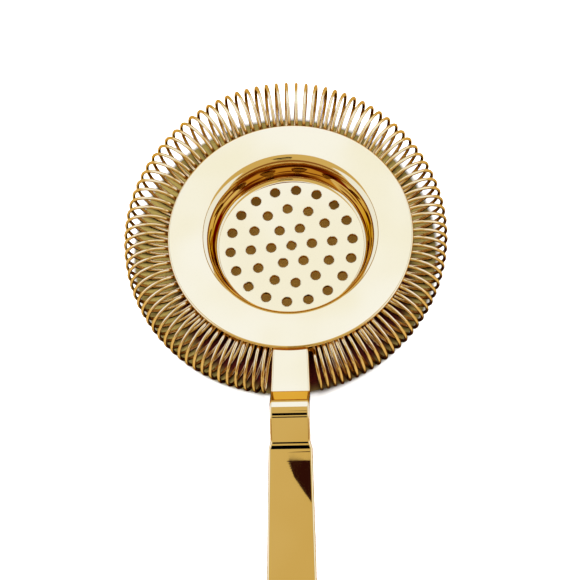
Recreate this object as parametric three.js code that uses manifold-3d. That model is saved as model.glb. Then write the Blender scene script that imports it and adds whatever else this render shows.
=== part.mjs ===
// A prongless Hawthorne strainer for cocktails: a pressed and perforated plate, a bent strap handle
// welded under its rim, and one long coil spring that runs round the plate under its edge.
// Millimetres, +Z up. The model is built about the centre of the plate, with z = 0 on top of the rim and
// the handle along -Y. At the end it is set down on z = 0 with its footprint centred on the origin.
import * as THREE from "three";
import { mergeVertices } from "three/addons/utils/BufferGeometryUtils.js";
import Module from "manifold-3d";

const wasm = await Module();
wasm.setup();

const DEGREE = Math.PI / 180;

// Plate: a flat rim round a shallow cup whose floor is perforated
const RIM_RADIUS = 36;
const SHEET = 1.2;
const LIP_RADIUS = 26.5;
const LIP_BEND = 2.8;
const FLOOR_RADIUS = 21.1;
const FLOOR_BEND = 1.4;
const FLOOR_DEPTH = 8;
const FOOT_STEPS = 3;
const LIP_STEPS = 5;
const PLATE_SIDES = 64;
const HOLE_RADIUS = 1.5;
const HOLE_SIDES = 10;
const HOLE_RING_STEP = 6.05;
const HOLE_RINGS = 3;
const HOLES_PER_RING = 6;
const HOLE_TURN = 5.74 * DEGREE;

// Handle: a strap that leaves the rim level, steps over a hump and runs down to its round end
const STRAP = 1.8;
const STRAP_START = 28.5;
const NECK_END = 48.8;
const RISE_ANGLE = 47 * DEGREE;
const RISE_LENGTH = 7.7;
const CREST_ANGLE = 2 * DEGREE;
const CREST_LENGTH = 3.5;
const FALL_ANGLE = 36 * DEGREE;
const FALL_LENGTH = 9.5;
const BLADE_ANGLE = 11 * DEGREE;
const HANDLE_REACH = 138;
const FOOT_BEND = 0.8;
const CREST_BEND = 3.6;
const BACK_BEND = 5.8;
const HEEL_BEND = 8.5;
const BEND_STEPS = 6;
const NECK_HALF_WIDTH = 5.2;
const HUMP_HALF_WIDTH = 5.65;
const SHOULDER_HALF_WIDTH = 6.25;
const TAIL_HALF_WIDTH = 7.5;
const SHOULDER_START = 64.3;
const SHOULDER_END = 66.1;

// Coil spring: one wire wound round a slightly egg-shaped ring that hangs under the rim at the sides and
// rises round its edge at the front
const TURNS = 96;
const WIRE = 1;
const COIL_RADIUS = 9;
const COIL_DEPTH = 11;
const FRONT_LIFT = 3;
const RING_START = -79.5 * DEGREE;
const RING_END = 259.5 * DEGREE;
const RING_RADIUS = 39.3;
const RING_SHIFT_X = -2;
const RING_SHIFT_Y = 4;
const RING_OVAL = -0.7;
const PITCH_SWING = 0.06;
const CROWDING = 0.25;
const CROWDING_REACH = 1 / 24;
const START_PHASE = 60 * DEGREE;
const END_PHASE = -10 * DEGREE;
const STEPS_PER_TURN = 8;
const TAIL_STEPS = 8;
const TAIL_PULL = 4;

// Anchor: a folded channel under the neck, with an eye in each leg for the spring's two ends
const ANCHOR_Y = -34;
const ANCHOR_LENGTH = 5;
const ANCHOR_HALF_WIDTH = 4.2;
const ANCHOR_SHEET = 1;
const ANCHOR_DROP = 5.5;
const EYE_DROP = 3.4;
const EYE_RADIUS = 1;
const EYE_SIDES = 12;
const WIRE_END_X = 1.6;
const WIRE_ENTRY_X = 5;

// Clips: small staples under the rim, each held round two turns of the spring. The clearance is between
// a clip and the middle of the wire, square to the wire.
const CLIPS = { right_front_clip: -35, right_rear_clip: -58, left_front_clip: 215, left_rear_clip: 238 };
const CLIP_RADIUS = 34.8;
const CLIP_WIDTH = 1.2;
const CLIP_SHEET = 0.5;
const CLIP_TURNS = 2;
const CLIP_CLEARANCE = 1.35;

const GOLD = { color: 0xe0b566, roughness: 0.12, metalness: 1 };

function solidOf(geometry) {
  const bare = geometry.clone();
  bare.deleteAttribute("normal");
  bare.deleteAttribute("uv");
  const merged = mergeVertices(bare, 1e-4);
  return new wasm.Manifold(
    new wasm.Mesh({
      numProp: 3,
      vertProperties: merged.attributes.position.array,
      triVerts: new Uint32Array(merged.index.array),
    }),
  );
}

function geometryOf(solid) {
  const mesh = solid.getMesh();
  const geometry = new THREE.BufferGeometry();
  geometry.setAttribute("position", new THREE.BufferAttribute(mesh.vertProperties, 3));
  geometry.setIndex(new THREE.BufferAttribute(mesh.triVerts, 1));
  geometry.computeVertexNormals();
  return geometry;
}

function piece(name, geometry) {
  const mesh = new THREE.Mesh(geometry, new THREE.MeshStandardMaterial(GOLD));
  mesh.name = name;
  return mesh;
}

// Points on an arc about a centre, from one angle to another.
function arc([x, y], radius, from, to, steps) {
  const points = [];
  for (let i = 0; i <= steps; i++) {
    const angle = from + ((to - from) * i) / steps;
    points.push(new THREE.Vector2(x + radius * Math.cos(angle), y + radius * Math.sin(angle)));
  }
  return points;
}

// One face of the pressing, from the middle of the floor out to the rim: offset 0 is the upper face and
// offset SHEET the lower one. Both faces share the centres of the two bends and the slope of the wall.
function pressedFace(offset) {
  const lip = [LIP_RADIUS, -LIP_BEND];
  const foot = [FLOOR_RADIUS, FLOOR_BEND - FLOOR_DEPTH];
  const run = lip[0] - foot[0];
  const rise = lip[1] - foot[1];
  const wall = Math.atan2(rise, run) + Math.asin((LIP_BEND + FLOOR_BEND) / Math.hypot(run, rise));
  return [
    new THREE.Vector2(0, -FLOOR_DEPTH - offset),
    ...arc(foot, FLOOR_BEND + offset, -Math.PI / 2, wall - Math.PI / 2, FOOT_STEPS),
    ...arc(lip, LIP_BEND - offset, wall + Math.PI / 2, Math.PI / 2, LIP_STEPS),
  ];
}

function holeDrills() {
  const drills = [];
  for (let ring = 0; ring <= HOLE_RINGS; ring++) {
    const count = Math.max(1, ring * HOLES_PER_RING);
    for (let i = 0; i < count; i++) {
      const angle = HOLE_TURN + (2 * Math.PI * i) / count;
      const reach = ring * HOLE_RING_STEP;
      const drill = new THREE.CylinderGeometry(HOLE_RADIUS, HOLE_RADIUS, 4 * SHEET, HOLE_SIDES);
      drill.rotateX(Math.PI / 2);
      drill.translate(reach * Math.cos(angle), reach * Math.sin(angle), -FLOOR_DEPTH - SHEET / 2);
      drills.push(drill);
    }
  }
  return drills;
}

function strainerPlate() {
  const edge = arc([RIM_RADIUS - SHEET / 2, -SHEET / 2], SHEET / 2, Math.PI / 2, -Math.PI / 2, 4);
  const profile = [...pressedFace(0), ...edge, ...pressedFace(SHEET).reverse()].reverse();
  const lathe = new THREE.LatheGeometry(profile, PLATE_SIDES);
  lathe.rotateX(Math.PI / 2);
  let plate = solidOf(lathe);
  for (const drill of holeDrills()) plate = plate.subtract(solidOf(drill));
  return geometryOf(plate);
}

function walk(from, angle, length) {
  return new THREE.Vector2(from.x + length * Math.cos(angle), from.y + length * Math.sin(angle));
}

// Straight runs between the given corners, with a round bend of the given radius at each inner one.
function bentPath(corners, radii) {
  const path = [corners[0]];
  radii.forEach((radius, i) => {
    const corner = corners[i + 1];
    const before = corner.clone().sub(corners[i]).normalize();
    const after = corners[i + 2].clone().sub(corner).normalize();
    const turn = Math.atan2(before.cross(after), before.dot(after));
    const side = new THREE.Vector2(-before.y, before.x).multiplyScalar(Math.sign(turn));
    const start = corner.clone().addScaledVector(before, -radius * Math.tan(Math.abs(turn) / 2));
    for (let step = 0; step <= BEND_STEPS; step++) {
      const angle = (Math.abs(turn) * step) / BEND_STEPS;
      const point = start.clone().addScaledVector(before, radius * Math.sin(angle));
      path.push(point.addScaledVector(side, radius * (1 - Math.cos(angle))));
    }
  });
  path.push(corners[corners.length - 1]);
  return path;
}

// One face of the strap seen from its side: x is the distance from the plate's centre along the handle,
// y is height. Offset 0 is the upper face and offset STRAP the lower one, square to the run.
function strapFace(offset) {
  const runs = [
    [0, NECK_END - STRAP_START],
    [RISE_ANGLE, RISE_LENGTH],
    [-CREST_ANGLE, CREST_LENGTH],
    [-FALL_ANGLE, FALL_LENGTH],
  ];
  const corners = [new THREE.Vector2(STRAP_START, -SHEET)];
  for (const [angle, length] of runs) corners.push(walk(corners.at(-1), angle, length));
  const heel = corners.at(-1);
  const end = walk(heel, -BLADE_ANGLE, (HANDLE_REACH - heel.x) / Math.cos(BLADE_ANGLE));
  const lines = [...runs.map(([angle]) => angle), -BLADE_ANGLE].map((angle, i) => {
    return [walk(corners[i], angle - Math.PI / 2, offset), angle];
  });
  const face = [lines[0][0]];
  for (let i = 1; i < lines.length; i++) face.push(crossing(lines[i - 1], lines[i]));
  face.push(walk(end, -BLADE_ANGLE - Math.PI / 2, offset));
  return bentPath(face, [FOOT_BEND + offset, CREST_BEND - offset, BACK_BEND - offset, HEEL_BEND + offset]);
}

// Where two lines meet, each given by a point and its angle.
function crossing([pointA, angleA], [pointB, angleB]) {
  const alongA = walk(new THREE.Vector2(), angleA, 1);
  const alongB = walk(new THREE.Vector2(), angleB, 1);
  const distance = pointB.clone().sub(pointA).cross(alongB) / alongA.cross(alongB);
  return pointA.clone().addScaledVector(alongA, distance);
}

function strapOutline() {
  const half = [
    [NECK_HALF_WIDTH, -STRAP_START],
    [NECK_HALF_WIDTH, -RIM_RADIUS],
    [HUMP_HALF_WIDTH, -NECK_END],
    [HUMP_HALF_WIDTH, -SHOULDER_START],
    [SHOULDER_HALF_WIDTH, -SHOULDER_END],
    [TAIL_HALF_WIDTH, TAIL_HALF_WIDTH - HANDLE_REACH],
  ];
  const outline = new THREE.Shape(half.map(([x, y]) => new THREE.Vector2(-x, y)));
  outline.absarc(0, TAIL_HALF_WIDTH - HANDLE_REACH, TAIL_HALF_WIDTH, Math.PI, 2 * Math.PI, false);
  for (const [x, y] of half.reverse()) outline.lineTo(x, y);
  return outline;
}

// The handle is what the strap's side view and its outline from above have in common.
function handle() {
  const across = 4 * TAIL_HALF_WIDTH;
  const side = new THREE.ExtrudeGeometry(
    new THREE.Shape([...strapFace(0), ...strapFace(STRAP).reverse()]),
    { depth: across, bevelEnabled: false },
  );
  side.translate(0, 0, -across / 2);
  side.applyMatrix4(
    new THREE.Matrix4().makeBasis(
      new THREE.Vector3(0, -1, 0),
      new THREE.Vector3(0, 0, 1),
      new THREE.Vector3(-1, 0, 0),
    ),
  );
  const plan = new THREE.ExtrudeGeometry(strapOutline(), { depth: 60, bevelEnabled: false, curveSegments: 8 });
  plan.translate(0, 0, -40);
  return geometryOf(solidOf(side).intersect(solidOf(plan)));
}

// The angle round the plate at a share of the spring's length. The turns stand a little closer at the two
// ends and the front than at the sides, and they crowd together where the spring starts.
function ringAngle(share) {
  const swing = (PITCH_SWING * Math.sin(4 * Math.PI * share)) / (4 * Math.PI);
  const lost = CROWDING * CROWDING_REACH;
  const crowded = share - swing - lost * (1 - Math.exp(-share / CROWDING_REACH));
  return RING_START + ((RING_END - RING_START) * crowded) / (1 - lost);
}

// The distance of the coil's middle line from the plate's centre.
function ringRadius(angle) {
  const shift = RING_SHIFT_X * Math.cos(angle) + RING_SHIFT_Y * Math.sin(angle);
  return RING_RADIUS + shift + RING_OVAL * Math.cos(2 * angle);
}

// The height of the coil's middle line.
function ringHeight(angle) {
  return FRONT_LIFT * Math.max(0, Math.sin(angle)) ** 3 - COIL_DEPTH;
}

// The angle round the coil, from 0 at its outside and 90 degrees at its top, falling along the wire.
function coilPhase(share) {
  return START_PHASE + (END_PHASE - START_PHASE - 2 * Math.PI * TURNS) * share;
}

function coilPoint(share) {
  const angle = ringAngle(share);
  const phase = coilPhase(share);
  const radius = ringRadius(angle) + COIL_RADIUS * Math.cos(phase);
  return new THREE.Vector3(
    radius * Math.cos(angle),
    radius * Math.sin(angle),
    ringHeight(angle) + COIL_RADIUS * Math.sin(phase),
  );
}

// The wire's middle line: in through one eye of the anchor, round the ring and out through the other.
// Its parameter runs evenly over the steps of each stretch, so the short tails keep steps of their own.
class SpringWire extends THREE.Curve {
  constructor() {
    super();
    const eyeZ = -SHEET - STRAP - EYE_DROP;
    const step = 1e-5;
    const start = coilPoint(0);
    const end = coilPoint(1);
    const startRun = coilPoint(step).sub(start).setLength(TAIL_PULL);
    const endRun = end.clone().sub(coilPoint(1 - step)).setLength(TAIL_PULL);
    const at = (x) => new THREE.Vector3(x, ANCHOR_Y, eyeZ);
    this.stretches = [
      [1, new THREE.LineCurve3(at(WIRE_END_X), at(WIRE_ENTRY_X))],
      [
        TAIL_STEPS,
        new THREE.CubicBezierCurve3(
          at(WIRE_ENTRY_X),
          at(WIRE_ENTRY_X + TAIL_PULL / 2),
          start.clone().sub(startRun),
          start,
        ),
      ],
      [TURNS * STEPS_PER_TURN, { getPoint: coilPoint }],
      [
        TAIL_STEPS,
        new THREE.CubicBezierCurve3(
          end,
          end.clone().add(endRun),
          at(-WIRE_ENTRY_X - TAIL_PULL / 2),
          at(-WIRE_ENTRY_X),
        ),
      ],
      [1, new THREE.LineCurve3(at(-WIRE_ENTRY_X), at(-WIRE_END_X))],
    ];
    this.steps = this.stretches.reduce((sum, [steps]) => sum + steps, 0);
  }

  getUtoTmapping(u) {
    return u;
  }

  getPoint(t) {
    let left = t * this.steps;
    for (const [steps, stretch] of this.stretches) {
      if (left <= steps) return stretch.getPoint(left / steps);
      left -= steps;
    }
    return this.stretches.at(-1)[1].getPoint(1);
  }
}

// A square section of the same area as the round wire.
function coilSpring() {
  const half = (WIRE * Math.sqrt(Math.PI)) / 4;
  const section = new THREE.Shape();
  section.moveTo(half, half);
  section.lineTo(-half, half);
  section.lineTo(-half, -half);
  section.lineTo(half, -half);
  const wire = new SpringWire();
  return new THREE.ExtrudeGeometry(section, { steps: wire.steps, extrudePath: wire });
}

function springAnchor() {
  const top = -SHEET - STRAP;
  const outer = ANCHOR_HALF_WIDTH;
  const inner = ANCHOR_HALF_WIDTH - ANCHOR_SHEET;
  const channel = new THREE.Shape([
    new THREE.Vector2(-outer, top),
    new THREE.Vector2(-outer, top - ANCHOR_DROP),
    new THREE.Vector2(-inner, top - ANCHOR_DROP),
    new THREE.Vector2(-inner, top - ANCHOR_SHEET),
    new THREE.Vector2(inner, top - ANCHOR_SHEET),
    new THREE.Vector2(inner, top - ANCHOR_DROP),
    new THREE.Vector2(outer, top - ANCHOR_DROP),
    new THREE.Vector2(outer, top),
  ]);
  const body = new THREE.ExtrudeGeometry(channel, { depth: ANCHOR_LENGTH, bevelEnabled: false });
  body.rotateX(Math.PI / 2);
  body.translate(0, ANCHOR_Y + ANCHOR_LENGTH / 2, 0);
  const eyes = new THREE.CylinderGeometry(EYE_RADIUS, EYE_RADIUS, 4 * outer, EYE_SIDES);
  eyes.rotateZ(Math.PI / 2);
  eyes.translate(0, ANCHOR_Y, top - EYE_DROP);
  return geometryOf(solidOf(body).subtract(solidOf(eyes)));
}

// The angles round the plate of the gaps on either side of CLIP_TURNS turns, where the wire passes the
// clips' radius on its way up from the coil's inside.
function clipGaps(angle, phase) {
  const travel = coilPhase(1) - coilPhase(0);
  const shareOf = (turn) => (phase - 2 * Math.PI * turn - START_PHASE) / travel;
  let turn = 1;
  while (ringAngle(shareOf(turn)) < angle) turn++;
  return [ringAngle(shareOf(turn - 0.5)), ringAngle(shareOf(turn - 0.5 + CLIP_TURNS))];
}

function springClip(degrees) {
  const angle = degrees * DEGREE;
  const inset = ringRadius(angle) - CLIP_RADIUS + CLIP_WIDTH / 2;
  const height = Math.sqrt(COIL_RADIUS ** 2 - inset ** 2);
  const [from, to] = clipGaps(angle, Math.PI - Math.atan2(height, inset));
  const half = CLIP_RADIUS * Math.sin((to - from) / 2);
  const seat = height + ringHeight(angle) - (CLIP_CLEARANCE * COIL_RADIUS) / height;
  const legs = new THREE.Shape([
    new THREE.Vector2(-half - CLIP_SHEET / 2, -SHEET),
    new THREE.Vector2(-half - CLIP_SHEET / 2, seat - CLIP_SHEET),
    new THREE.Vector2(half + CLIP_SHEET / 2, seat - CLIP_SHEET),
    new THREE.Vector2(half + CLIP_SHEET / 2, -SHEET),
    new THREE.Vector2(half - CLIP_SHEET / 2, -SHEET),
    new THREE.Vector2(half - CLIP_SHEET / 2, seat),
    new THREE.Vector2(-half + CLIP_SHEET / 2, seat),
    new THREE.Vector2(-half + CLIP_SHEET / 2, -SHEET),
  ]);
  const clip = new THREE.ExtrudeGeometry(legs, { depth: CLIP_WIDTH, bevelEnabled: false });
  clip.rotateX(Math.PI / 2);
  clip.translate(0, CLIP_RADIUS + CLIP_WIDTH / 2, 0);
  clip.rotateZ((from + to) / 2 - Math.PI / 2);
  return clip;
}

const strainer = new THREE.Group();
strainer.add(piece("strainer_plate", strainerPlate()));
strainer.add(piece("handle", handle()));
strainer.add(piece("coil_spring", coilSpring()));
strainer.add(piece("spring_anchor", springAnchor()));
for (const [name, degrees] of Object.entries(CLIPS)) strainer.add(piece(name, springClip(degrees)));

const footprint = new THREE.Box3().setFromObject(strainer, true);
const middle = footprint.getCenter(new THREE.Vector3());
strainer.position.set(-middle.x, -middle.y, -footprint.min.z);

export default strainer;
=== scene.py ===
"""The looks of a gold Hawthorne cocktail strainer: a polished plate, a bent strap and a fine coil spring.

Sizes are in millimetres about the centre of the plate, on top of its rim, with the handle along -Y. They are
set down in the frame, in metres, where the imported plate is.
"""

import math

import bmesh
import bpy
from mathutils import Matrix, Vector
from mathutils.geometry import delaunay_2d_cdt


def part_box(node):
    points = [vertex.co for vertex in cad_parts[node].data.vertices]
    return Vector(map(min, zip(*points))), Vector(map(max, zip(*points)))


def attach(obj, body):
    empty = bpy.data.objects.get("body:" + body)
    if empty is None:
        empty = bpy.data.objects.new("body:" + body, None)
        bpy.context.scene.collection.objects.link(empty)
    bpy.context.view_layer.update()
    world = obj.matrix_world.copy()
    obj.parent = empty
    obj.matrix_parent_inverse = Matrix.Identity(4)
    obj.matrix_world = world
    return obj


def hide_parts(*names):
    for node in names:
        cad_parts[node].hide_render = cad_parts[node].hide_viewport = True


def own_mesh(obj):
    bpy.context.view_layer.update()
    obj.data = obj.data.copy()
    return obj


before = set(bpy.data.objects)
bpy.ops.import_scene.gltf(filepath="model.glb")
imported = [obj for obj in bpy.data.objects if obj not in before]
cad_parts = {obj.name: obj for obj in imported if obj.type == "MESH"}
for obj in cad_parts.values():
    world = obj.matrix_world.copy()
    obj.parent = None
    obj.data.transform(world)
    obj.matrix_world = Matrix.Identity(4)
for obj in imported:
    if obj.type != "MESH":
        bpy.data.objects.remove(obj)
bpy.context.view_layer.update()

MM = 0.001
QUARTER = math.pi / 2

# Plate
RIM_RADIUS = 36
SHEET = 1.2
LIP_RADIUS = 26.5
LIP_BEND = 2.8
FLOOR_RADIUS = 21.1
FLOOR_BEND = 1.4
FLOOR_DEPTH = 8
HOLE_RADIUS = 1.5
HOLE_RING_STEP = 6.05
HOLE_RINGS = 3
HOLES_PER_RING = 6
HOLE_TURN = math.radians(5.74)
HOLE_ROUNDING = 0.12
PLATE_SIDES = 192
HOLE_SIDES = 36
PRESSED_STEPS = 12
WALL_EASE = math.radians(8)
WALL_STEPS = 12
FLAT_MARGIN = 0.04
MERGE_DISTANCE = 1e-6
INSIDE_OUTLINE = 1

# Handle
STRAP = 1.8
STRAP_START = 28.5
NECK_END = 48.8
RISE_ANGLE = math.radians(47)
RISE_LENGTH = 7.7
CREST_ANGLE = math.radians(2)
CREST_LENGTH = 3.5
FALL_ANGLE = math.radians(36)
FALL_LENGTH = 9.5
BLADE_ANGLE = math.radians(11)
HANDLE_REACH = 138
FOOT_BEND = 0.8
CREST_BEND = 3.6
BACK_BEND = 5.8
HEEL_BEND = 8.5
NECK_HALF_WIDTH = 5.2
HUMP_HALF_WIDTH = 5.65
SHOULDER_HALF_WIDTH = 6.25
TAIL_HALF_WIDTH = 7.5
SHOULDER_START = 64.3
SHOULDER_END = 66.1
EDGE_ROUNDING = 0.7
EDGE_STEPS = 6
STRAP_BEND_STEPS = 28
TAIL_ROUND_STEPS = 36
BLADE_STEPS = 20
SLOPE_REACH = 0.01

# Spring
TURNS = 96
WIRE_RADIUS = 0.5
COIL_RADIUS = 9
COIL_DEPTH = 11
FRONT_LIFT = 3
RING_START = math.radians(-79.5)
RING_END = math.radians(259.5)
RING_RADIUS = 39.3
RING_SHIFT_X = -2
RING_SHIFT_Y = 4
RING_OVAL = -0.7
PITCH_SWING = 0.06
CROWDING = 0.25
CROWDING_REACH = 1 / 24
START_PHASE = math.radians(60)
END_PHASE = math.radians(-10)
TAIL_PULL = 4
ANCHOR_Y = -34
EYE_Z = -6.4
WIRE_END_X = 1.6
WIRE_ENTRY_X = 5
STEPS_PER_TURN = 28
TAIL_STEPS = 24
WIRE_SIDES = 12

# Gold, with the scales of its noises, and the ranges of noise that its smooth steps run over
GOLD = (0.86, 0.585, 0.2, 1)
DEEP_GOLD = (0.83, 0.55, 0.168, 1)
MARK_SCALE = 60
MARK_DETAIL = 6
MARK_RANGE = (0.35, 0.75)
CLOUD_SCALE = 28
CLOUD_DETAIL = 2
CLOUD_RANGE = (0.4, 0.65)
SWELL_SCALE = 90
SWELL_DETAIL = 1

# A painted dark reflection on the wall of the cup, which fades out between two depths below the rim and two
# above the floor
PAINTED_WALL_REFLECTION = (0.2, 0.035, 0.004, 1)
PAINTED_REFLECTION_TOP = (2.4, 1.5)
PAINTED_REFLECTION_FOOT = (7.7, 6.9)
STREAK_STRETCH = 12
STREAK_SCALE = 55
STREAK_DETAIL = 3
STREAK_RANGE = (0.44, 0.56)
STREAK_LEAST = 0.05

# Studio, in metres where it is not about the strainer itself
WORLD_COLOUR = (0.72, 0.67, 0.5, 1)
COOL = (0.28, 0.395, 0.98)
FRAME_COLOUR = (0.5, 0.4, 0.22)
BACK_COLOUR = (0.3, 0.16, 0.07)
FLAG_COLOUR = (0.03, 0.0075, 0.01)
SOFTBOX_GLOW = 3.9
SIDE_GLOW = 3.6
OVERHEAD_WATTS = 140
OVERHEAD_SIZE = 1.2
OVERHEAD_HEIGHT = 1.5

# Panels: the way to each in degrees across and ahead of straight up, its distance, its width and its height
SOFTBOX = (0, 42, 0.8, 0.72, 0.8)
SOFTBOX_FRAME = (0, 42, 0.82, 1, 0.82)
BACK_WALL = (0, -68, 0.9, 2.4, 0.4)
SIDE_WALL = (60, 20, 1, 1.6, 1.06)
CAMERA_BODY = (0, -22.5, 0.7, 0.14, 0.165)
CAMERA_STAND = (0, -39, 0.7, 0.14, 0.075)
HUMP_REFLECTION = (22, -57, 3)

# Pennant, in millimetres: its corners on the right, and the frayed edge from its first point along its run
FLAG_HEIGHT = 400
FLAG_RIGHT = (-8, -86.6)
FLAG_FOOT = [(-10.4, -106), (-8, -107.5)]
FRAYED_START = (-20.4, -86.4)
FRAYED_RUN = (2, -7.6)
FLAG_TEETH = 14
FLAG_FRAY = 1.6

# Ground
GROUND_RADIUS = 3000
GROUND_ROUGHNESS = 0.9
GROUND_SIDES = 96

# Camera
CAMERA_ROLL = math.radians(7.43)
CAMERA_TILT = math.radians(23.95)
CAMERA_TURN = math.radians(6.8)
CAMERA_OFFSET = Vector((0.035, 16.38, -672.5))
CAMERA_LENS = 142.76
CAMERA_SENSOR = 36
CAMERA_CLIP = 0.01

plate_low, plate_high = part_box("strainer_plate")
PLATE_CENTRE = Vector(((plate_low.x + plate_high.x) / 2, (plate_low.y + plate_high.y) / 2, plate_high.z))


def placed(point):
    """A point in millimetres about the plate, as a point of the frame in metres."""
    return PLATE_CENTRE + Vector(point) * MM


def add_piece(name, points, faces, material, body, slot, nodes):
    mesh = bpy.data.meshes.new(name)
    mesh.from_pydata([placed(point) for point in points], [], faces)
    shape = bmesh.new()
    shape.from_mesh(mesh)
    bmesh.ops.recalc_face_normals(shape, faces=shape.faces)
    shape.to_mesh(mesh)
    shape.free()
    mesh.shade_smooth()
    mesh.materials.append(material)
    piece = bpy.data.objects.new(name, mesh)
    bpy.context.scene.collection.objects.link(piece)
    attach(piece, body)
    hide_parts(*nodes)
    return piece


def bridge(first, second, count):
    """Quads between two closed loops of as many points, given by the index of their first points."""
    faces = []
    for i in range(count):
        after = (i + 1) % count
        faces.append((first + i, first + after, second + after, second + i))
    return faces


def arc(centre, radius, start, end, steps):
    points = []
    for i in range(steps + 1):
        angle = start + (end - start) * i / steps
        points.append((centre[0] + radius * math.cos(angle), centre[1] + radius * math.sin(angle)))
    return points


def eased(start, end, angle):
    """A smooth curve between two points that leaves the first and reaches the second at the same angle."""
    reach = math.hypot(end[0] - start[0], end[1] - start[1]) / 3
    pull = (reach * math.cos(angle), reach * math.sin(angle))
    points = []
    for i in range(1, WALL_STEPS):
        t = i / WALL_STEPS
        weights = ((1 - t) ** 3, 3 * t * (1 - t) ** 2, 3 * t * t * (1 - t), t**3)
        stops = [(start[k], start[k] + pull[k], end[k] - pull[k], end[k]) for k in (0, 1)]
        points.append(tuple(sum(w * stop for w, stop in zip(weights, axis)) for axis in stops))
    return points


def pressed_face(offset):
    """One face of the pressing from the edge of the floor out to the rim, as radius and height."""
    lip = (LIP_RADIUS, -LIP_BEND)
    foot = (FLOOR_RADIUS, FLOOR_BEND - FLOOR_DEPTH)
    run = lip[0] - foot[0]
    rise = lip[1] - foot[1]
    wall = math.atan2(rise, run) + math.asin((LIP_BEND + FLOOR_BEND) / math.hypot(run, rise))
    slant = wall - WALL_EASE
    floor_turn = arc(foot, FLOOR_BEND + offset, -QUARTER, slant - QUARTER, PRESSED_STEPS)
    lip_turn = arc(lip, LIP_BEND - offset, slant + QUARTER, QUARTER, PRESSED_STEPS)
    return floor_turn + eased(floor_turn[-1], lip_turn[0], slant) + lip_turn


def plate_section():
    """The plate's section outside the perforated floor, from the floor's top round the rim to its underside.
    A narrow flat margin beside each bend keeps the broad flats free of its shading."""
    half = SHEET / 2
    edge = arc((RIM_RADIUS - half, -half), half, QUARTER, -QUARTER, PRESSED_STEPS)
    flats = (FLOOR_RADIUS - FLAT_MARGIN, LIP_RADIUS + FLAT_MARGIN, RIM_RADIUS - half - FLAT_MARGIN)
    upper = [(flats[0], -FLOOR_DEPTH), *pressed_face(0), (flats[1], 0), (flats[2], 0)]
    lower = [(flats[0], -FLOOR_DEPTH - SHEET), *pressed_face(SHEET), (flats[1], -SHEET), (flats[2], -SHEET)]
    return upper + edge + lower[::-1]


def hole_section():
    """A hole's wall with rounded edges, from the flat margin on top to the one below."""
    top = -FLOOR_DEPTH
    bottom = -FLOOR_DEPTH - SHEET
    reach = HOLE_RADIUS + HOLE_ROUNDING
    upper = arc((reach, top - HOLE_ROUNDING), HOLE_ROUNDING, QUARTER, 2 * QUARTER, 4)
    lower = arc((reach, bottom + HOLE_ROUNDING), HOLE_ROUNDING, 2 * QUARTER, 3 * QUARTER, 4)
    return [(reach + FLAT_MARGIN, top), *upper, *lower, (reach + FLAT_MARGIN, bottom)]


def hole_centres():
    centres = [(0, 0)]
    for ring in range(1, HOLE_RINGS + 1):
        for i in range(ring * HOLES_PER_RING):
            angle = HOLE_TURN + math.tau * i / (ring * HOLES_PER_RING)
            centres.append((ring * HOLE_RING_STEP * math.cos(angle), ring * HOLE_RING_STEP * math.sin(angle)))
    return centres


def turned(section, centre, sides):
    """Points and faces of a section turned about an upright axis, as one loop of points for each step."""
    points = []
    faces = []
    for radius, height in section:
        for i in range(sides):
            angle = math.tau * i / sides
            x = centre[0] + radius * math.cos(angle)
            points.append((x, centre[1] + radius * math.sin(angle), height))
    for step in range(len(section) - 1):
        faces += bridge(step * sides, (step + 1) * sides, sides)
    return points, faces


def plate_mesh():
    points, faces = turned(plate_section(), (0, 0), PLATE_SIDES)
    loops = [(0, len(points) - PLATE_SIDES, PLATE_SIDES)]
    for centre in hole_centres():
        wall, wall_faces = turned(hole_section(), centre, HOLE_SIDES)
        start = len(points)
        points += wall
        faces += [tuple(start + index for index in face) for face in wall_faces]
        loops.append((start, len(points) - HOLE_SIDES, HOLE_SIDES))
    tops = [top + i for top, _, count in loops for i in range(count)]
    bottoms = [bottom + i for _, bottom, count in loops for i in range(count)]
    edges = []
    first = 0
    for _, _, count in loops:
        edges += [(first + i, first + (i + 1) % count) for i in range(count)]
        first += count
    flat = [Vector(points[index][:2]) for index in tops]
    triangles = delaunay_2d_cdt(flat, edges, [], INSIDE_OUTLINE, MERGE_DISTANCE)[2]
    for triangle in triangles:
        middle = sum((flat[i] for i in triangle), Vector((0, 0))) / 3
        if all((middle - Vector(centre)).length > HOLE_RADIUS for centre in hole_centres()):
            faces.append(tuple(tops[i] for i in triangle))
            faces.append(tuple(bottoms[i] for i in reversed(triangle)))
    return points, faces


def strap_line():
    """The strap's upper face seen from its side, as (distance from the plate's centre, height)."""

    def walk(start, angle, length):
        return start + Vector((math.cos(angle), math.sin(angle))) * length

    corners = [Vector((STRAP_START, -SHEET)), Vector((NECK_END, -SHEET))]
    corners.append(walk(corners[-1], RISE_ANGLE, RISE_LENGTH))
    corners.append(walk(corners[-1], -CREST_ANGLE, CREST_LENGTH))
    corners.append(walk(corners[-1], -FALL_ANGLE, FALL_LENGTH))
    corners.append(walk(corners[-1], -BLADE_ANGLE, (HANDLE_REACH - corners[-1].x) / math.cos(BLADE_ANGLE)))
    bends = [FOOT_BEND, CREST_BEND, BACK_BEND, HEEL_BEND]
    line = [corners[0]]
    for i, radius in enumerate(bends):
        before = (corners[i + 1] - corners[i]).normalized()
        after = (corners[i + 2] - corners[i + 1]).normalized()
        turn = -before.angle_signed(after)
        side = Vector((-before.y, before.x)) * math.copysign(1, turn)
        start = corners[i + 1] - before * radius * math.tan(abs(turn) / 2)
        for step in range(STRAP_BEND_STEPS + 1):
            angle = abs(turn) * step / STRAP_BEND_STEPS
            line.append(start + before * radius * math.sin(angle) + side * radius * (1 - math.cos(angle)))
    line.append(corners[-1])
    return line


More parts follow.
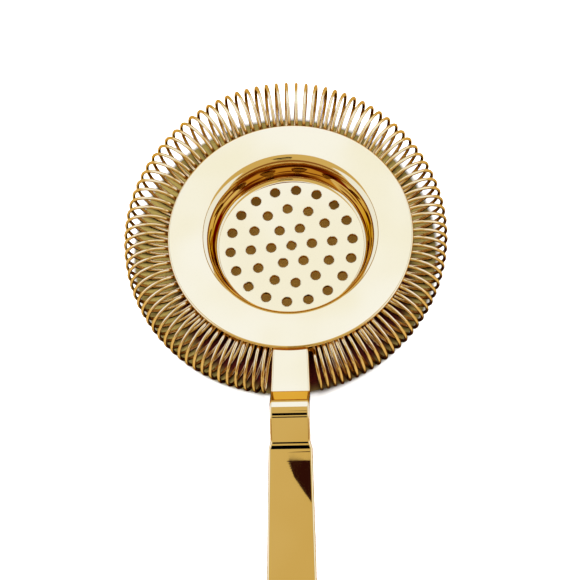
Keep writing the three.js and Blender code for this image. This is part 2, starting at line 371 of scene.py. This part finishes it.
def between(stops, place):
    """The value at a place on a run of (place, value) stops, carried straight on past either end."""
    last = next((i for i in range(1, len(stops)) if place <= stops[i][0]), len(stops) - 1)
    near, low = stops[last - 1]
    far, high = stops[last]
    return low + (high - low) * (place - near) / (far - near)


def strap_half_width(distance):
    stops = [
        (STRAP_START, NECK_HALF_WIDTH),
        (RIM_RADIUS, NECK_HALF_WIDTH),
        (NECK_END, HUMP_HALF_WIDTH),
        (SHOULDER_START, HUMP_HALF_WIDTH),
        (SHOULDER_END, SHOULDER_HALF_WIDTH),
        (HANDLE_REACH - TAIL_HALF_WIDTH, TAIL_HALF_WIDTH),
    ]
    return between(stops, distance)


def strap_stations(line):
    """Distances along the strap: the points of its side view, its changes of width and short steps between."""
    last = HANDLE_REACH - TAIL_HALF_WIDTH
    marks = [point.x for point in line[:-1]] + [RIM_RADIUS, SHOULDER_START, SHOULDER_END, last]
    marks += [SHOULDER_END + (last - SHOULDER_END) * i / BLADE_STEPS for i in range(1, BLADE_STEPS)]
    return sorted(set(marks))


def slope_at(line, distance):
    rise = between(line, distance + SLOPE_REACH) - between(line, distance - SLOPE_REACH)
    return math.atan2(rise, 2 * SLOPE_REACH)


def strap_loop(line, stations, inset, depth):
    """One closed loop round the strap, inset from its outline and sunk below its upper face."""
    right = []
    for distance in stations:
        shift = inset if distance == stations[0] else 0
        right.append((strap_half_width(distance) - inset, distance + shift))
    middle = HANDLE_REACH - TAIL_HALF_WIDTH
    for i in range(1, TAIL_ROUND_STEPS):
        angle = QUARTER * i / TAIL_ROUND_STEPS
        radius = TAIL_HALF_WIDTH - inset
        right.append((radius * math.cos(angle), middle + radius * math.sin(angle)))
    points = []
    for x, distance in right:
        angle = slope_at(line, distance)
        y = distance + depth * math.sin(angle)
        z = between(line, distance) - depth * math.cos(angle)
        points.append((x, -y, z))
    tip = middle + TAIL_HALF_WIDTH - inset
    angle = slope_at(line, tip)
    end = (0, -tip - depth * math.sin(angle), between(line, tip) - depth * math.cos(angle))
    return points + [end] + [(-x, y, z) for x, y, z in reversed(points)]


def handle_mesh():
    line = strap_line()
    stations = strap_stations(line)
    r = EDGE_ROUNDING
    section = [(r + FLAT_MARGIN, 0)]
    section += [(r - x, r - y) for x, y in arc((0, 0), r, QUARTER, 0, EDGE_STEPS)]
    section += [(r - x, STRAP - r - y) for x, y in arc((0, 0), r, 0, -QUARTER, EDGE_STEPS)]
    section += [(r + FLAT_MARGIN, STRAP)]
    points = []
    for inset, depth in section:
        points += strap_loop(line, stations, inset, depth)
    count = len(points) // len(section)
    faces = []
    for step in range(len(section) - 1):
        faces += bridge(step * count, (step + 1) * count, count)
    for loop in (0, len(points) - count):
        for i in range(count // 2 - 1):
            mirror = loop + count - 1 - i
            faces.append((loop + i, loop + i + 1, mirror - 1, mirror))
        faces.append((loop + count // 2 - 1, loop + count // 2, loop + count // 2 + 1))
    return points, faces


def ring_angle(share):
    """The angle round the plate at a share of the spring's length. The turns crowd together at its start."""
    swing = PITCH_SWING * math.sin(4 * math.pi * share) / (4 * math.pi)
    lost = CROWDING * CROWDING_REACH
    crowded = share - swing - lost * (1 - math.exp(-share / CROWDING_REACH))
    return RING_START + (RING_END - RING_START) * crowded / (1 - lost)


def coil_point(share):
    angle = ring_angle(share)
    phase = START_PHASE + (END_PHASE - START_PHASE - math.tau * TURNS) * share
    ring = RING_RADIUS + RING_SHIFT_X * math.cos(angle) + RING_SHIFT_Y * math.sin(angle)
    ring += RING_OVAL * math.cos(2 * angle)
    radius = ring + COIL_RADIUS * math.cos(phase)
    height = FRONT_LIFT * max(0, math.sin(angle)) ** 3 - COIL_DEPTH + COIL_RADIUS * math.sin(phase)
    return Vector((radius * math.cos(angle), radius * math.sin(angle), height))


def tail_points(coil_end, towards, side):
    """The wire from the anchor's eye to one end of the coil, side +1 on the right and -1 on the left."""
    entry = Vector((side * WIRE_ENTRY_X, ANCHOR_Y, EYE_Z))
    pull = entry + Vector((side * TAIL_PULL / 2, 0, 0))
    points = [Vector((side * WIRE_END_X, ANCHOR_Y, EYE_Z))]
    for i in range(TAIL_STEPS):
        t = i / TAIL_STEPS
        near = entry * (1 - t) ** 3 + pull * 3 * t * (1 - t) ** 2
        points.append(near + (coil_end - towards) * 3 * t * t * (1 - t) + coil_end * t**3)
    return points


def wire_line():
    step = 1e-5
    start = coil_point(0)
    end = coil_point(1)
    start_run = (coil_point(step) - start).normalized() * TAIL_PULL
    end_run = (coil_point(1 - step) - end).normalized() * TAIL_PULL
    count = TURNS * STEPS_PER_TURN
    coil = [coil_point(i / count) for i in range(count + 1)]
    return tail_points(start, start_run, 1) + coil + tail_points(end, end_run, -1)[::-1]


def spring_mesh():
    line = wire_line()
    tangents = []
    for i in range(len(line)):
        tangents.append((line[min(i + 1, len(line) - 1)] - line[max(i - 1, 0)]).normalized())
    side = tangents[0].orthogonal().normalized()
    points = []
    faces = []
    for i, point in enumerate(line):
        side = (side - tangents[i] * side.dot(tangents[i])).normalized()
        across = tangents[i].cross(side)
        for step in range(WIRE_SIDES):
            angle = math.tau * step / WIRE_SIDES
            points.append(point + (side * math.cos(angle) + across * math.sin(angle)) * WIRE_RADIUS)
    for i in range(len(line) - 1):
        faces += bridge(i * WIRE_SIDES, (i + 1) * WIRE_SIDES, WIRE_SIDES)
    faces.append(tuple(range(WIRE_SIDES)))
    faces.append(tuple(range(len(points) - WIRE_SIDES, len(points))))
    return points, faces


def new_material(name):
    material = bpy.data.materials.new(name)
    material.use_nodes = True
    return material, material.node_tree.nodes, material.node_tree.links


def ramp(nodes, links, source, start, end, low, high, curve="SMOOTHSTEP"):
    """A step of a value from low to high between start and end, smooth unless another curve is named."""
    step = nodes.new("ShaderNodeMapRange")
    step.interpolation_type = curve
    step.inputs["From Min"].default_value = start
    step.inputs["From Max"].default_value = end
    step.inputs["To Min"].default_value = low
    step.inputs["To Max"].default_value = high
    links.new(source, step.inputs["Value"])
    return step.outputs["Result"]


def noise(nodes, links, vector, scale, detail):
    texture = nodes.new("ShaderNodeTexNoise")
    texture.inputs["Scale"].default_value = scale
    texture.inputs["Detail"].default_value = detail
    links.new(vector, texture.inputs["Vector"])
    return texture.outputs["Fac"]


def stretched(nodes, links, vector, scale):
    mapping = nodes.new("ShaderNodeMapping")
    mapping.inputs["Scale"].default_value = scale
    links.new(vector, mapping.inputs["Vector"])
    return mapping.outputs["Vector"]


def blend_colours(nodes, links, factor):
    """A mix of two colours by a factor. Its inputs A and B are left for the caller to fill."""
    mix = nodes.new("ShaderNodeMix")
    mix.data_type = "RGBA"
    links.new(factor, mix.inputs["Factor"])
    return mix


def multiply(nodes, links, first, second):
    product = nodes.new("ShaderNodeMath")
    product.operation = "MULTIPLY"
    links.new(first, product.inputs[0])
    links.new(second, product.inputs[1])
    return product.outputs["Value"]


def paint_wall_reflection(material):
    """Painted dark red reflections, in streaks that run round the wall of the cup."""
    nodes = material.node_tree.nodes
    links = material.node_tree.links
    place = nodes.new("ShaderNodeTexCoord").outputs["Object"]
    split = nodes.new("ShaderNodeSeparateXYZ")
    links.new(place, split.inputs["Vector"])
    top = [PLATE_CENTRE.z - depth * MM for depth in PAINTED_REFLECTION_TOP]
    foot = [PLATE_CENTRE.z - depth * MM for depth in PAINTED_REFLECTION_FOOT]
    below_lip = ramp(nodes, links, split.outputs["Z"], *top, 1, 0)
    above_floor = ramp(nodes, links, split.outputs["Z"], *foot, 0, 1)
    level = stretched(nodes, links, place, (1, 1, STREAK_STRETCH))
    streaks = noise(nodes, links, level, STREAK_SCALE, STREAK_DETAIL)
    streaked = ramp(nodes, links, streaks, *STREAK_RANGE, 1, STREAK_LEAST)
    wall = multiply(nodes, links, below_lip, above_floor)
    mix = blend_colours(nodes, links, multiply(nodes, links, wall, streaked))
    shader = nodes["Principled BSDF"]
    links.new(shader.inputs["Base Color"].links[0].from_socket, mix.inputs["A"])
    # the colour of the painted dark reflection, mixed in on the wall
    mix.inputs["B"].default_value = PAINTED_WALL_REFLECTION
    links.new(mix.outputs["Result"], shader.inputs["Base Color"])
    links.new(mix.outputs["Result"], shader.inputs["Specular Tint"])


def gold(name, roughness, wear, waviness, scratch_scale=(1, 1, 1)):
    """Polished gold plating: wiping marks in the roughness, a cloudy tone and a very slight unevenness."""
    material, nodes, links = new_material(name)
    shader = nodes["Principled BSDF"]
    shader.inputs["Metallic"].default_value = 1
    shader.inputs["Specular Tint"].default_value = GOLD
    place = nodes.new("ShaderNodeTexCoord").outputs["Object"]
    marks = noise(nodes, links, stretched(nodes, links, place, scratch_scale), MARK_SCALE, MARK_DETAIL)
    spread = ramp(nodes, links, marks, *MARK_RANGE, roughness, roughness + wear, "LINEAR")
    links.new(spread, shader.inputs["Roughness"])
    clouds = noise(nodes, links, place, CLOUD_SCALE, CLOUD_DETAIL)
    tone = blend_colours(nodes, links, ramp(nodes, links, clouds, *CLOUD_RANGE, 0, 1))
    tone.inputs["A"].default_value = GOLD
    tone.inputs["B"].default_value = DEEP_GOLD
    links.new(tone.outputs["Result"], shader.inputs["Base Color"])
    bump = nodes.new("ShaderNodeBump")
    bump.inputs["Distance"].default_value = MM
    bump.inputs["Strength"].default_value = waviness
    links.new(noise(nodes, links, place, SWELL_SCALE, SWELL_DETAIL), bump.inputs["Height"])
    links.new(bump.outputs["Normal"], shader.inputs["Normal"])
    return material


def glow(name, strength, colour=(1, 1, 1)):
    material, nodes, links = new_material(name)
    nodes.clear()
    output = nodes.new("ShaderNodeOutputMaterial")
    emission = nodes.new("ShaderNodeEmission")
    emission.inputs["Color"].default_value = (*colour, 1)
    emission.inputs["Strength"].default_value = strength
    links.new(emission.outputs["Emission"], output.inputs["Surface"])
    return material


def direction(across, ahead):
    """The way to a place in the studio: degrees from straight up, towards +X and the spring's front."""
    return Vector((math.tan(math.radians(across)), math.tan(math.radians(ahead)), 1)).normalized()


def sheet(name, points, material):
    """An object of one flat face."""
    mesh = bpy.data.meshes.new(name)
    mesh.from_pydata(points, [], [tuple(range(len(points)))])
    mesh.materials.append(material)
    flat = bpy.data.objects.new(name, mesh)
    bpy.context.scene.collection.objects.link(flat)
    return flat


def card(name, panel_size, material, target=PLATE_CENTRE, side=1):
    """A flat panel of the studio that faces a target. The camera doesn't see it, only its reflection."""
    degrees_across, degrees_ahead, distance, width, height = panel_size
    centre = target + direction(side * degrees_across, degrees_ahead) * distance
    facing = (target - centre).normalized()
    across = Vector((0, 0, 1)).cross(facing).normalized()
    upward = facing.cross(across)
    corners = [(-1, -1), (1, -1), (1, 1), (-1, 1)]
    points = [centre + across * width / 2 * x + upward * height / 2 * y for x, y in corners]
    panel = sheet(name, points, material)
    panel.visible_camera = False
    return panel


def flag(material):
    """A dark pennant with a frayed edge, high over the handle, for the dark patch that the blade mirrors."""
    corners = [FLAG_RIGHT]
    for i in range(FLAG_TEETH + 1):
        share = i / FLAG_TEETH
        tooth = FLAG_FRAY * (i % 2) * (1 - share)
        x = FRAYED_START[0] + FRAYED_RUN[0] * share - tooth
        corners.append((x, FRAYED_START[1] + FRAYED_RUN[1] * share))
    corners += FLAG_FOOT
    panel = sheet("flag", [placed((x, y, FLAG_HEIGHT)) for x, y in corners], material)
    panel.visible_camera = False
    panel.visible_diffuse = False
    panel.visible_shadow = False


def matt(name, colour, radius, softness, ambient):
    """A matt ground that may fade out towards its edge, and keep some light of its own in deep shade."""
    material, nodes, links = new_material(name)
    shader = nodes["Principled BSDF"]
    shader.inputs["Base Color"].default_value = (*colour, 1)
    shader.inputs["Roughness"].default_value = GROUND_ROUGHNESS
    shader.inputs["Specular IOR Level"].default_value = 0
    shader.inputs["Emission Color"].default_value = (*ambient, 1)
    shader.inputs["Emission Strength"].default_value = 1
    if softness:
        reach = nodes.new("ShaderNodeVectorMath")
        reach.operation = "LENGTH"
        links.new(nodes.new("ShaderNodeTexCoord").outputs["Object"], reach.inputs[0])
        fade = ramp(nodes, links, reach.outputs["Value"], (radius - softness) * MM, radius * MM, 1, 0)
        links.new(fade, shader.inputs["Alpha"])
    return material


def ground(name, height, colour, radius=GROUND_RADIUS, centre=(0, 0), softness=0, ambient=(0, 0, 0)):
    """A level disc under the strainer, at a height over the floor."""
    angles = [math.tau * i / GROUND_SIDES for i in range(GROUND_SIDES)]
    rim = [(radius * MM * math.cos(angle), radius * MM * math.sin(angle), 0) for angle in angles]
    plane = sheet(name, rim, matt(name, colour, radius, softness, ambient))
    plane.location = (PLATE_CENTRE.x + centre[0] * MM, PLATE_CENTRE.y + centre[1] * MM, height * MM)
    return plane


def floors():
    """The pale floor that the camera sees, and a dull one in its place that the polished metal reflects. Each
    has dark cards on it for the deep shade under the strainer. The brown one shows in both."""
    seen = [
        ground("pale_floor", -0.2, (0.6, 0.6, 0.6)),
        ground("tan_card", 0.08, (0.14, 0.104, 0.03), radius=46.4, centre=(-2.6, 3.2), softness=1.8),
        ground("shade_card", 0.1, (0.03, 0.004, 0.003), radius=38, centre=(0, -6), softness=6),
    ]
    mirrored = [
        ground("dull_floor", 0, (0.17, 0.15, 0.12)),
        ground("black_card", 0.05, (0.012, 0.002, 0.001), radius=54, centre=(0, 2), softness=5),
    ]
    ambient = (0.12, 0.055, 0.009)
    ground("brown_card", 0.15, (0.09, 0.05, 0.01), radius=27, centre=(0, 5), softness=4, ambient=ambient)
    for plane in seen:
        plane.visible_glossy = False
    for plane in mirrored:
        plane.visible_camera = False
        plane.visible_diffuse = False
        plane.visible_shadow = False


def camera():
    data = bpy.data.cameras.new("camera")
    data.lens = CAMERA_LENS
    data.sensor_width = CAMERA_SENSOR
    data.clip_start = CAMERA_CLIP
    viewer = bpy.data.objects.new("camera", data)
    bpy.context.scene.collection.objects.link(viewer)
    turn = Matrix.Rotation(CAMERA_TURN, 3, "Z") @ Matrix.Rotation(CAMERA_TILT, 3, "X")
    turn = turn @ Matrix.Rotation(-CAMERA_ROLL, 3, "Z")
    viewer.matrix_world = Matrix.Translation(placed(turn @ -CAMERA_OFFSET)) @ turn.to_4x4()
    bpy.context.scene.camera = viewer


def surroundings():
    """The studio's air: a plain warm world that lights no matt surface, and one broad light overhead."""
    scene = bpy.context.scene
    scene.view_settings.view_transform = "Standard"
    world = bpy.data.worlds.new("studio")
    world.use_nodes = True
    world.node_tree.nodes["Background"].inputs["Color"].default_value = WORLD_COLOUR
    world.node_tree.nodes["Background"].inputs["Strength"].default_value = 1
    scene.world = world
    world.cycles_visibility.diffuse = False
    data = bpy.data.lights.new("overhead", "AREA")
    data.shape = "DISK"
    data.size = OVERHEAD_SIZE
    data.energy = OVERHEAD_WATTS
    overhead = bpy.data.objects.new("overhead", data)
    overhead.location = PLATE_CENTRE + Vector((0, 0, OVERHEAD_HEIGHT))
    overhead.visible_glossy = False
    scene.collection.objects.link(overhead)


def studio():
    """Panels for the metal to mirror. The last two stand where a camera would, in the hump's reflection."""
    surroundings()
    softbox = card("softbox", SOFTBOX, glow("softbox_glow", SOFTBOX_GLOW, COOL))
    softbox.visible_diffuse = False
    card("softbox_frame", SOFTBOX_FRAME, glow("frame_glow", 1, FRAME_COLOUR))
    card("back_wall", BACK_WALL, glow("back_glow", 1, BACK_COLOUR))
    side_glow = glow("side_glow", SIDE_GLOW, COOL)
    for side in (-1, 1):
        wall = card(f"side_wall_{side + 1}", SIDE_WALL, side_glow, side=side)
        wall.visible_diffuse = False
    dark = glow("dark", 0)
    card("camera_body", CAMERA_BODY, dark, placed(HUMP_REFLECTION))
    card("camera_stand", CAMERA_STAND, dark, placed(HUMP_REFLECTION))
    flag(glow("flag_glow", 1, FLAG_COLOUR))


plate_gold = gold("plate_gold", roughness=0.02, wear=0.05, waviness=0.004)
# painted dark red reflections streaked round the wall of the cup
paint_wall_reflection(plate_gold)
strap_gold = gold("strap_gold", roughness=0.01, wear=0.015, waviness=0.003, scratch_scale=(3, 0.4, 1))
wire_gold = gold("wire_gold", roughness=0.14, wear=0.08, waviness=0.005)
fitting_gold = gold("fitting_gold", roughness=0.08, wear=0.12, waviness=0.02)

camera()
studio()
floors()

add_piece("polished_plate", *plate_mesh(), plate_gold, "strainer", "gold_plate", ["strainer_plate"])
add_piece("strap_handle", *handle_mesh(), strap_gold, "strainer", "gold_handle", ["handle"])
wire = add_piece("spring_wire", *spring_mesh(), wire_gold, "spring", "gold_wire", ["coil_spring"])
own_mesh(wire)

for name in ("spring_anchor", "right_front_clip", "right_rear_clip", "left_front_clip", "left_rear_clip"):
    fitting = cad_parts[name]
    fitting.data.materials.clear()
    fitting.data.materials.append(fitting_gold)
